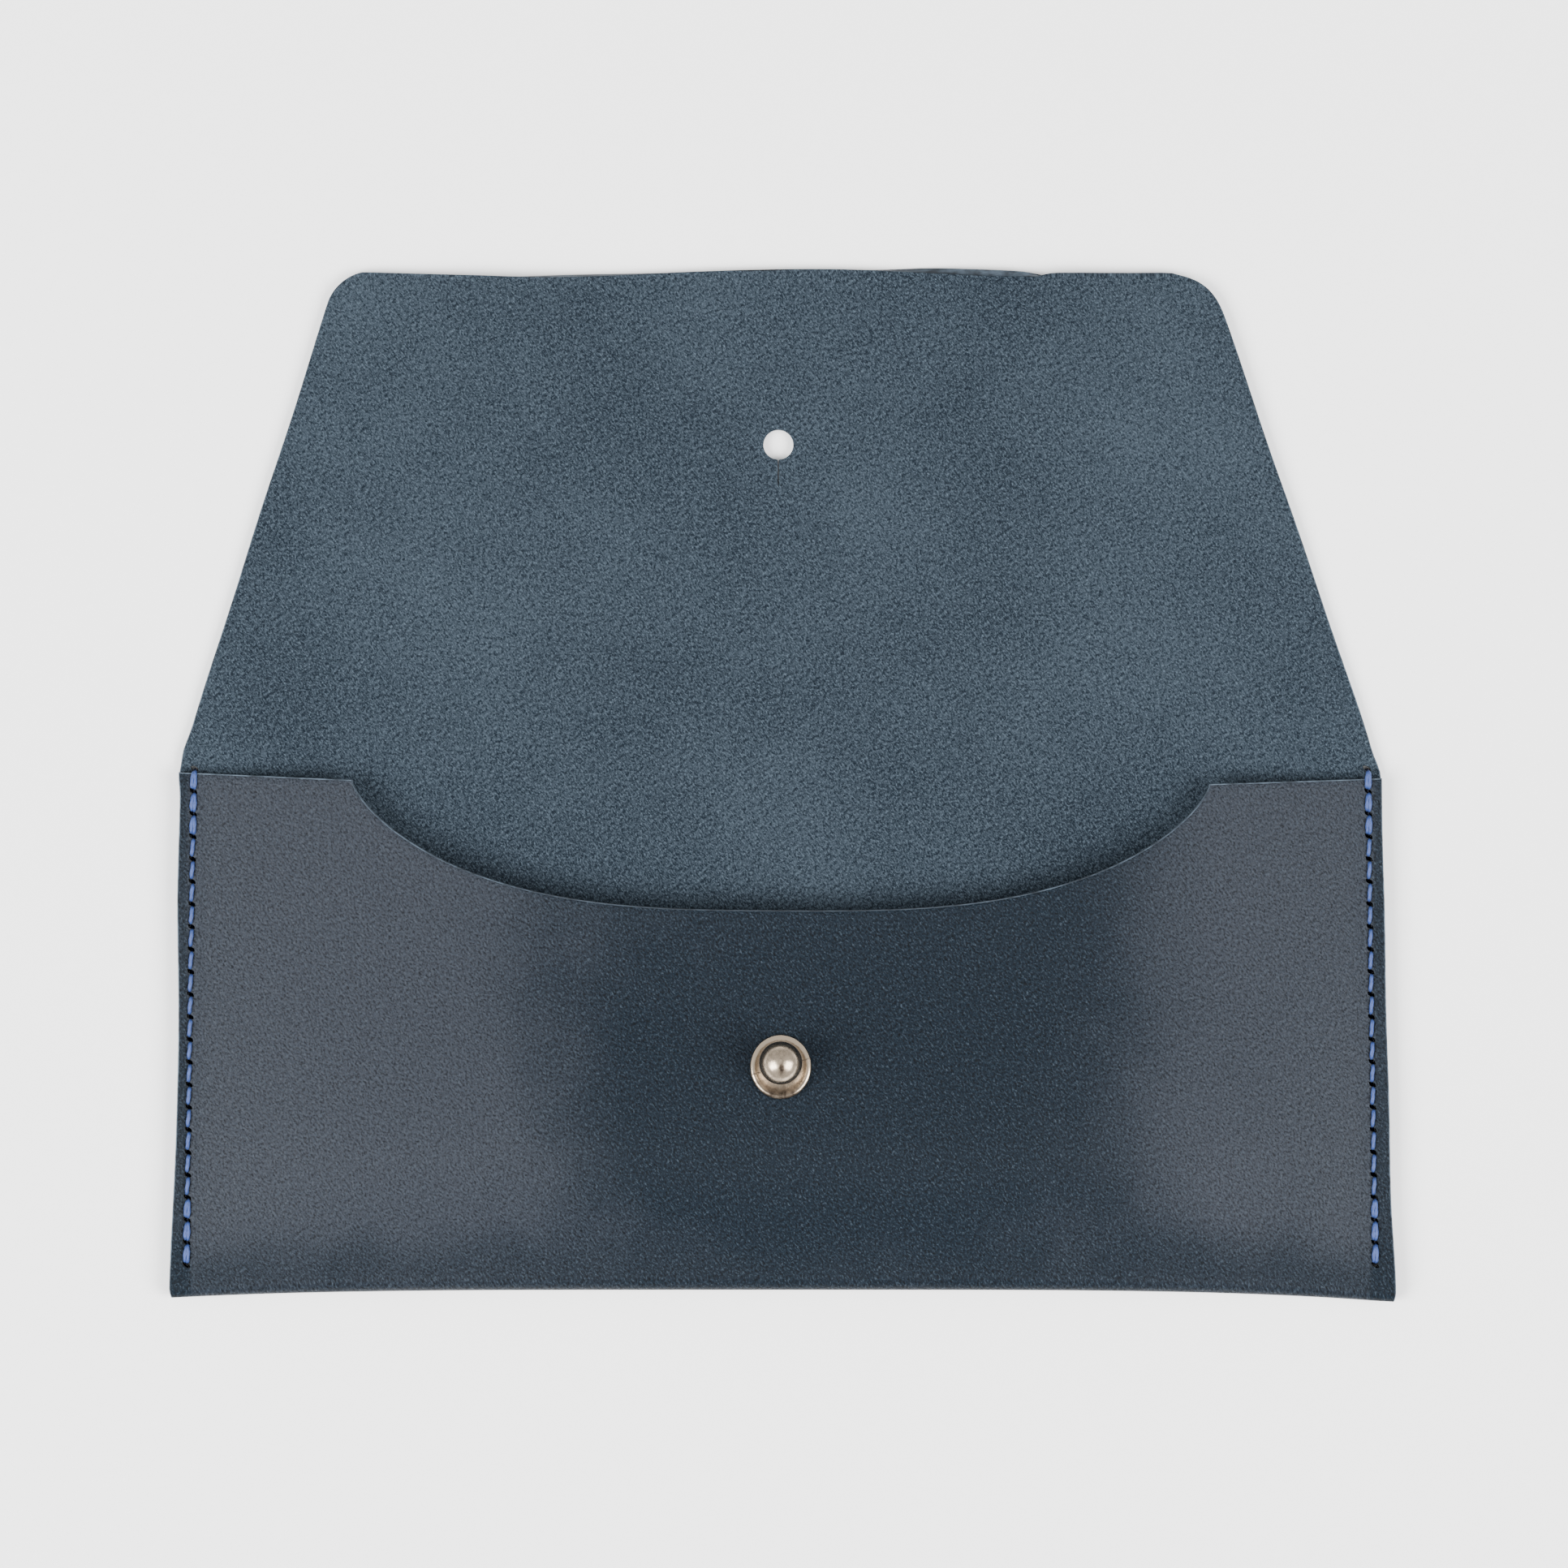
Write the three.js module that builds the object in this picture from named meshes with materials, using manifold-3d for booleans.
// Leather utility pouch with an envelope flap, open and lying on its back.
// Millimetres, +Z up, +X to the right and +Y from the bottom fold to the flap's tip.
// One sheet of hide is folded at the bottom into a back and a front panel, the sides are
// saddle stitched, and the flap runs on from the back and closes on a ball stud.

import * as THREE from 'three';
import { mergeVertices } from 'three/addons/utils/BufferGeometryUtils.js';
import Module from 'manifold-3d';

// Leather
const leatherThickness = 1.6;

// Panels, with y measured from the outside of the bottom fold
const topHalfWidth = 100.2;
const bottomHalfWidth = 101.9;
const shoulderHeight = 85.8;
const shoulderSlope = 1.1;
const cornerDip = 1.4;

// Curved cutout in the front panel's top edge
const cutoutHalfWidth = 71.3;
const cutoutDepth = 21.3;
const cutoutPower = 3;
const cutoutFullness = 0.72;

// Room between the two panels
const seamGap = 0.2;
const foldGap = 2;
const bellyGap = 8;
const mouthGap = 5.2;
const bellyHeight = 18;
const mouthHeight = 64;
const archPower = 3;
const flatMargin = 4.4;

// Side seams
const stitchCount = 22;
const stitchPitch = 3.76;
const doubledStitches = 3;
const threadWidth = 0.65;
const threadThickness = 0.55;
const stitchDip = 0.3;
const topSeamInset = 2.4;
const bottomSeamInset = 2.9;
const overEdgeReach = 1.1;
const holeClearance = 0.3;
const threadClearance = 0.15;

// Flap, with lengths measured from the axis that it turns on
const hingeBeyondShoulder = 3.2;
const hingeHeight = 3.8;
const hingeClearance = 0.3;
const hipReach = 1.6;
const hipHalfWidth = 98.4;
const flapReach = 80.4;
const tipHalfWidth = 72.8;
const tipCornerCut = 7.5;
const keyholeDiameter = 5;
const slitLength = 4.7;
const slitWidth = 0.35;
const slitPoint = 0.8;

// Ball stud and its screw
const studHeight = 37.3;
const flangeDiameter = 10.2;
const flangeThickness = 1.1;
const flangeCrown = 0.35;
const neckDiameter = 4;
const neckLength = 2.1;
const ballDiameter = 7.1;
const seatClearance = 0.3;
const screwHeadDiameter = 8;
const screwHeadThickness = 1;
const screwHeadChamfer = 0.3;
const screwSlotWidth = 1;
const screwSlotDepth = 0.55;
const shankDiameter = 2;
const screwReach = 4.2;

// Number of flat faces that stand for each curve
const roundSteps = 32;
const foldSteps = 8;
const frontSteps = 14;
const cutoutColumns = 10;
const shoulderColumns = 5;
const curveSegments = 10;
const ballSteps = 10;

// Places that follow from the sizes above
const hingeY = shoulderHeight + hingeBeyondShoulder;
const backTop = hingeY - hingeClearance / 2;
const seamU = 1 - flatMargin / topHalfWidth;
const cornerU = cutoutHalfWidth / topHalfWidth;
const foldRadius = (leatherThickness + foldGap) / 2;
const foldStart = foldRadius + leatherThickness / 2;

const wasm = await Module();
wasm.setup();

// A closed geometry as a solid for cutting and joining.
function solidOf(geometry, matrix = new THREE.Matrix4()) {
  const bare = geometry.clone().applyMatrix4(matrix);
  bare.deleteAttribute('normal');
  bare.deleteAttribute('uv');
  const welded = mergeVertices(bare, 1e-4);
  const corners = welded.index.array;
  const triangles = [];
  for (let k = 0; k < corners.length; k += 3) {
    const [a, b, c] = [corners[k], corners[k + 1], corners[k + 2]];
    if (a !== b && b !== c && c !== a) triangles.push(a, b, c);
  }
  return new wasm.Manifold(new wasm.Mesh({
    numProp: 3,
    vertProperties: Float32Array.from(welded.attributes.position.array),
    triVerts: Uint32Array.from(triangles),
  }));
}

function geometryOf(solid) {
  const mesh = solid.getMesh();
  const geometry = new THREE.BufferGeometry();
  geometry.setAttribute('position', new THREE.BufferAttribute(Float32Array.from(mesh.vertProperties), 3));
  geometry.setIndex(new THREE.BufferAttribute(Uint32Array.from(mesh.triVerts), 1));
  geometry.computeVertexNormals();
  return geometry;
}

const lerp = THREE.MathUtils.lerp;

// A soft rise from 0 to 1 that is level at both ends.
function ease(t) {
  return (1 - Math.cos(Math.PI * THREE.MathUtils.clamp(t, 0, 1))) / 2;
}

// Half of the pouch's width at a height above the fold.
function halfWidth(y) {
  if (y > shoulderHeight) {
    const t = (y - shoulderHeight) / (hingeY + hipReach - shoulderHeight);
    return lerp(topHalfWidth, hipHalfWidth, Math.min(t, 1));
  }
  return lerp(bottomHalfWidth, topHalfWidth, Math.max(y, 0) / shoulderHeight);
}

// Height of the front panel's top edge: level shoulders that fall a little towards the
// cutout, and a cutout that is nearly flat in the middle and steep at its corners.
function frontTop(u) {
  const side = Math.abs(u);
  if (side >= cornerU) {
    return shoulderHeight - shoulderSlope * (1 - side) / (1 - cornerU);
  }
  const depth = cutoutDepth * (1 - (side / cornerU) ** cutoutPower) ** cutoutFullness;
  return shoulderHeight - shoulderSlope - depth;
}

// Room between the panels in the middle of the pouch: it opens above the fold into a
// belly and closes a little towards the mouth.
function bellyAt(y) {
  if (y < bellyHeight) {
    return lerp(foldGap, bellyGap, ease((y - foldStart) / (bellyHeight - foldStart)));
  }
  return lerp(bellyGap, mouthGap, ease((y - bellyHeight) / (mouthHeight - bellyHeight)));
}

// The room shrinks in an arch to the seams, where the panels are stitched together.
function gapAt(u, y) {
  const arch = 1 - Math.min(1, Math.abs(u) / seamU) ** archPower;
  return lerp(seamGap, bellyAt(y), arch);
}

// A point of the sheet's middle layer. u runs across from -1 to 1. v runs from 0 to 1
// down the back, to 2 round the bottom fold and to 3 up the front.
function sheetPoint(u, v) {
  const radius = (leatherThickness + gapAt(u, foldStart)) / 2;
  const foldY = radius + leatherThickness / 2 - cornerDip * u ** 4;
  let y = 0;
  let z = leatherThickness / 2;
  if (v <= 1) {
    y = lerp(backTop, foldY, v);
  } else if (v <= 2) {
    const turn = (v - 1) * Math.PI;
    y = foldY - radius * Math.sin(turn);
    z += radius * (1 - Math.cos(turn));
  } else {
    y = lerp(foldY, frontTop(u), v - 2);
    z += leatherThickness + gapAt(u, y);
  }
  return new THREE.Vector3(u * halfWidth(y), y, z);
}

// The outward direction of the sheet, from two short steps along it.
function sheetNormal(u, v) {
  const step = 1e-3;
  const across = sheetPoint(u + step, v).sub(sheetPoint(u - step, v));
  const before = Math.max(v - step, 0);
  const after = Math.min(v + step, 3);
  const along = sheetPoint(u, after).sub(sheetPoint(u, before));
  return across.cross(along).normalize();
}

// Where the sheet is sampled across: close together by the cutout's corners.
function sheetColumns() {
  const half = [];
  for (let k = 0; k < cutoutColumns; k++) {
    half.push(cornerU * Math.sin((k / cutoutColumns) * (Math.PI / 2)));
  }
  for (let k = 0; k < shoulderColumns; k++) {
    half.push(lerp(cornerU, seamU, k / shoulderColumns));
  }
  half.push(seamU, 1);
  const left = half.slice(1).reverse().map((u) => -u);
  return [...left, ...half];
}

// Where the sheet is sampled along: few rows on the flat back, more round the fold.
function sheetRows() {
  const rows = [0, (backTop - shoulderHeight) / (backTop - foldStart)];
  for (let k = 0; k < foldSteps; k++) rows.push(1 + k / foldSteps);
  for (let k = 0; k <= frontSteps; k++) rows.push(2 + k / frontSteps);
  return rows;
}

// The folded sheet: an outer and an inner skin half a thickness to each side of the
// middle layer, closed by a strip along each cut edge.
function foldedSheet() {
  const columns = sheetColumns();
  const rows = sheetRows();
  const positions = [];
  const triangles = [];
  for (const v of rows) {
    for (const u of columns) {
      const middle = sheetPoint(u, v);
      const half = sheetNormal(u, v).multiplyScalar(leatherThickness / 2);
      positions.push(...middle.clone().add(half).toArray(), ...middle.clone().sub(half).toArray());
    }
  }
  const outer = (i, j) => 2 * (j * columns.length + i);
  const inner = (i, j) => outer(i, j) + 1;
  const quad = (a, b, c, d) => triangles.push(a, b, c, a, c, d);
  const lastColumn = columns.length - 1;
  const lastRow = rows.length - 1;
  for (let j = 0; j < lastRow; j++) {
    for (let i = 0; i < lastColumn; i++) {
      quad(outer(i, j), outer(i + 1, j), outer(i + 1, j + 1), outer(i, j + 1));
      quad(inner(i, j), inner(i, j + 1), inner(i + 1, j + 1), inner(i + 1, j));
    }
    quad(outer(0, j), outer(0, j + 1), inner(0, j + 1), inner(0, j));
    quad(outer(lastColumn, j + 1), outer(lastColumn, j), inner(lastColumn, j), inner(lastColumn, j + 1));
  }
  for (let i = 0; i < lastColumn; i++) {
    quad(outer(i + 1, 0), outer(i, 0), inner(i, 0), inner(i + 1, 0));
    quad(outer(i, lastRow), outer(i + 1, lastRow), inner(i + 1, lastRow), inner(i, lastRow));
  }
  const geometry = new THREE.BufferGeometry();
  geometry.setAttribute('position', new THREE.Float32BufferAttribute(positions, 3));
  geometry.setIndex(triangles);
  return geometry;
}

// A turned piece from its outline, given as radius and height pairs from the axis back
// to the axis.
function turned(outline) {
  const points = outline.map(([radius, height]) => new THREE.Vector2(radius, height));
  return new THREE.LatheGeometry(points, roundSteps).rotateX(Math.PI / 2);
}

// Seam layout. In a seam's own frame x runs along the seam from its top hole, y across
// it and z up.
const seamLength = stitchCount * stitchPitch;
const pinLength = threadThickness;
const frontFace = 2 * leatherThickness + seamGap;
const grooveDepth = threadThickness + 2 * threadClearance;

// The frame of the seam on one side, -1 for the left and 1 for the right.
function seamFrame(side) {
  const top = new THREE.Vector3(side * (topHalfWidth - topSeamInset), shoulderHeight + overEdgeReach, 0);
  const bottomX = side * (bottomHalfWidth - bottomSeamInset);
  const angle = Math.atan2(-seamLength, bottomX - top.x);
  const turn = new THREE.Matrix4().makeRotationZ(angle);
  return new THREE.Matrix4().makeTranslation(top).multiply(turn);
}

// A run of stitches is a ladder seen from the side, whose rungs are the thread in the
// holes. The front stitches swell between the holes that they dip into.
function ladder(first, last, width) {
  const start = first * stitchPitch - pinLength / 2;
  const end = last * stitchPitch + pinLength / 2;
  const frontLow = frontFace + threadClearance;
  const frontHigh = frontLow + threadThickness;
  const backLow = threadClearance;
  const backHigh = backLow + threadThickness;
  const shape = new THREE.Shape();
  shape.moveTo(start, backLow);
  shape.lineTo(end, backLow);
  shape.lineTo(end, frontHigh - stitchDip);
  for (let k = last; k > first; k--) {
    for (const part of [0.75, 0.5, 0.25]) {
      const swell = Math.sin(part * Math.PI);
      shape.lineTo((k - 1 + part) * stitchPitch, frontHigh - stitchDip * (1 - swell));
    }
    if (k > first + 1) shape.lineTo((k - 1) * stitchPitch, frontHigh - stitchDip);
  }
  shape.lineTo(start, frontHigh - stitchDip);
  const outline = new THREE.ExtrudeGeometry(shape, { depth: width, bevelEnabled: false });
  let run = solidOf(outline.rotateX(Math.PI / 2).translate(0, width / 2, 0));
  const openingHeight = frontLow - backHigh;
  for (let k = first; k < last; k++) {
    const opening = new THREE.BoxGeometry(stitchPitch - pinLength, 2 * width, openingHeight);
    opening.translate((k + 0.5) * stitchPitch, 0, backHigh + openingHeight / 2);
    run = run.subtract(solidOf(opening));
  }
  return run;
}

// One seam's thread: a single run, doubled over the first and the last stitches.
function seamThread() {
  const single = ladder(0, stitchCount, threadWidth);
  const topEnd = ladder(0, doubledStitches, 2 * threadWidth);
  const bottomEnd = ladder(stitchCount - doubledStitches, stitchCount, 2 * threadWidth);
  return single.add(topEnd).add(bottomEnd);
}

// What the needle and the groove on the back take out of the leather along one seam.
function seamCuts() {
  const cuts = [];
  const through = 4 * frontFace;
  for (let k = 0; k <= stitchCount; k++) {
    const doubled = k <= doubledStitches || k >= stitchCount - doubledStitches;
    const width = (doubled ? 2 : 1) * threadWidth + 2 * holeClearance;
    const hole = new THREE.BoxGeometry(pinLength + 2 * holeClearance, width, through);
    cuts.push(hole.translate(k * stitchPitch, 0, 0));
  }
  const grooveEnd = pinLength / 2 + holeClearance;
  const groove = (from, to, width) => {
    const length = (to - from) * stitchPitch + 2 * grooveEnd;
    const box = new THREE.BoxGeometry(length, width + 2 * holeClearance, 2 * grooveDepth);
    cuts.push(box.translate(from * stitchPitch - grooveEnd + length / 2, 0, 0));
  };
  groove(0, stitchCount, threadWidth);
  groove(0, doubledStitches, 2 * threadWidth);
  groove(stitchCount - doubledStitches, stitchCount, 2 * threadWidth);
  return cuts;
}

// The stud stands square on the belly of the front panel. Its own z is zero at the
// leather's outer face.
function studFrame() {
  const v = 2 + (studHeight - foldStart) / (frontTop(0) - foldStart);
  const normal = sheetNormal(0, v);
  const base = sheetPoint(0, v).addScaledVector(normal, leatherThickness / 2);
  const lean = Math.atan2(normal.y, normal.z);
  const turn = new THREE.Matrix4().makeRotationX(-lean);
  return { base, lean, matrix: new THREE.Matrix4().makeTranslation(base).multiply(turn) };
}

const stud = studFrame();
const seatHeight = seatClearance + flangeThickness;

// Stud head: flange, neck and ball in one, with a bore for the screw from below.
function studHead() {
  const bore = shankDiameter / 2 + seatClearance;
  const boreTop = screwReach + seatClearance;
  const ballRadius = ballDiameter / 2;
  const neckRadius = neckDiameter / 2;
  const flangeRadius = flangeDiameter / 2;
  const startAngle = -Math.acos(neckRadius / ballRadius);
  const ballCentre = seatHeight + neckLength - ballRadius * Math.sin(startAngle);
  const outline = [
    [0, boreTop],
    [bore, boreTop],
    [bore, seatClearance],
    [flangeRadius - flangeCrown, seatClearance],
    [flangeRadius, seatClearance + flangeCrown],
    [flangeRadius, seatHeight - flangeCrown],
    [flangeRadius - flangeCrown, seatHeight],
    [neckRadius, seatHeight],
  ];
  for (let k = 0; k < ballSteps; k++) {
    const angle = lerp(startAngle, Math.PI / 2, k / ballSteps);
    outline.push([ballRadius * Math.cos(angle), ballCentre + ballRadius * Math.sin(angle)]);
  }
  outline.push([0, ballCentre + ballRadius]);
  return turned(outline);
}

// Stud screw: a flat slotted head inside the pouch and a shank up into the stud head.
function studScrew() {
  const headRadius = screwHeadDiameter / 2;
  const headTop = -leatherThickness - seatClearance;
  const headLow = headTop - screwHeadThickness;
  const screw = solidOf(turned([
    [0, headLow],
    [headRadius - screwHeadChamfer, headLow],
    [headRadius, headLow + screwHeadChamfer],
    [headRadius, headTop],
    [shankDiameter / 2, headTop],
    [shankDiameter / 2, screwReach],
    [0, screwReach],
  ]));
  const slot = new THREE.BoxGeometry(2 * screwHeadDiameter, screwSlotWidth, 2 * screwSlotDepth);
  return geometryOf(screw.subtract(solidOf(slot.translate(0, 0, headLow))));
}

function leatherBody(seams) {
  let body = solidOf(foldedSheet());
  const holeRadius = shankDiameter / 2 + seatClearance;
  const studHole = new THREE.CylinderGeometry(holeRadius, holeRadius, 4 * leatherThickness, roundSteps);
  body = body.subtract(solidOf(studHole.rotateX(Math.PI / 2), stud.matrix));
  for (const frame of seams) {
    for (const cut of seamCuts()) body = body.subtract(solidOf(cut, frame));
  }
  return geometryOf(body);
}

// How far the flap turns to close: its suede side then rests on the stud's flange.
function closingAngle() {
  const seat = new THREE.Vector3(0, 0, seatHeight + seatClearance).applyMatrix4(stud.matrix);
  const run = hingeY - seat.y;
  const rise = seat.z - hingeHeight;
  const lever = Math.hypot(run, rise);
  return Math.PI - Math.atan2(rise, run) + Math.asin((hingeHeight - leatherThickness) / lever);
}

// The keyhole's distance from the hinge, which brings it round the stud's neck.
function keyholeReach() {
  const seat = new THREE.Vector3(0, 0, seatHeight + seatClearance).applyMatrix4(stud.matrix);
  const lever = Math.hypot(hingeY - seat.y, seat.z - hingeHeight);
  return Math.sqrt(lever ** 2 - (hingeHeight - leatherThickness) ** 2);
}

// Flap, drawn flat with y from the hinge: a short hip, straight sides that draw in to
// the tip, rounded tip corners and the keyhole.
function flapSheet() {
  const base = hingeClearance / 2;
  const baseHalfWidth = halfWidth(hingeY + base);
  const side = new THREE.Vector2(tipHalfWidth - hipHalfWidth, flapReach - hipReach).normalize();
  const cornerX = tipHalfWidth - side.x * tipCornerCut;
  const cornerY = flapReach - side.y * tipCornerCut;
  const shape = new THREE.Shape();
  shape.moveTo(-baseHalfWidth, base);
  shape.lineTo(baseHalfWidth, base);
  shape.lineTo(hipHalfWidth, hipReach);
  shape.lineTo(cornerX, cornerY);
  shape.quadraticCurveTo(tipHalfWidth, flapReach, tipHalfWidth - tipCornerCut, flapReach);
  shape.lineTo(-tipHalfWidth + tipCornerCut, flapReach);
  shape.quadraticCurveTo(-tipHalfWidth, flapReach, -cornerX, cornerY);
  shape.lineTo(-hipHalfWidth, hipReach);
  shape.closePath();

  const centre = keyholeReach();
  const radius = keyholeDiameter / 2;
  const slitHalf = slitWidth / 2;
  const slitAngle = Math.asin(slitHalf / radius);
  const slitEnd = centre - radius - slitLength;
  const keyhole = new THREE.Path();
  keyhole.absarc(0, centre, radius, slitAngle - Math.PI / 2, 1.5 * Math.PI - slitAngle, false);
  keyhole.lineTo(-slitHalf, slitEnd + slitPoint);
  keyhole.lineTo(0, slitEnd);
  keyhole.lineTo(slitHalf, slitEnd + slitPoint);
  keyhole.closePath();
  shape.holes.push(keyhole);
  return new THREE.ExtrudeGeometry(shape, {
    depth: leatherThickness,
    bevelEnabled: false,
    curveSegments,
  });
}

const grainLeather = new THREE.MeshStandardMaterial({ color: 0x44525f, roughness: 0.6, metalness: 0 });
const suede = new THREE.MeshStandardMaterial({ color: 0x485a68, roughness: 0.95, metalness: 0 });
const blueThread = new THREE.MeshStandardMaterial({ color: 0x7d95c6, roughness: 0.7, metalness: 0 });
const antiqueSilver = new THREE.MeshStandardMaterial({ color: 0x8c8d8e, roughness: 0.35, metalness: 1 });
const plainSteel = new THREE.MeshStandardMaterial({ color: 0x7b7c7d, roughness: 0.4, metalness: 1 });

function piece(name, geometry, material) {
  const mesh = new THREE.Mesh(geometry, material);
  mesh.name = name;
  return mesh;
}

const pouch = new THREE.Group();
const seams = [seamFrame(-1), seamFrame(1)];
pouch.add(piece('pouch_body', leatherBody(seams), grainLeather));

const threadNames = ['stitching_left', 'stitching_right'];
threadNames.forEach((name, k) => {
  const thread = piece(name, geometryOf(seamThread()), blueThread);
  thread.applyMatrix4(seams[k]);
  pouch.add(thread);
});

const studGroup = new THREE.Group();
studGroup.position.copy(stud.base);
studGroup.rotation.x = -stud.lean;
studGroup.add(piece('stud_head', studHead(), antiqueSilver));
studGroup.add(piece('stud_screw', studScrew(), plainSteel));
pouch.add(studGroup);

// The flap turns about X on the hinge group: 0 lies open, the closing angle is shut.
const flapHinge = new THREE.Group();
flapHinge.position.set(0, hingeY, hingeHeight);
const flap = piece('flap', flapSheet(), suede);
flap.position.z = -hingeHeight;
flapHinge.add(flap);
flapHinge.userData.closingAngle = closingAngle();
pouch.add(flapHinge);

// The origin is the middle of the pouch's outline, on the surface that it lies on.
pouch.position.y = -(hingeY + flapReach - cornerDip) / 2;

export default pouch;
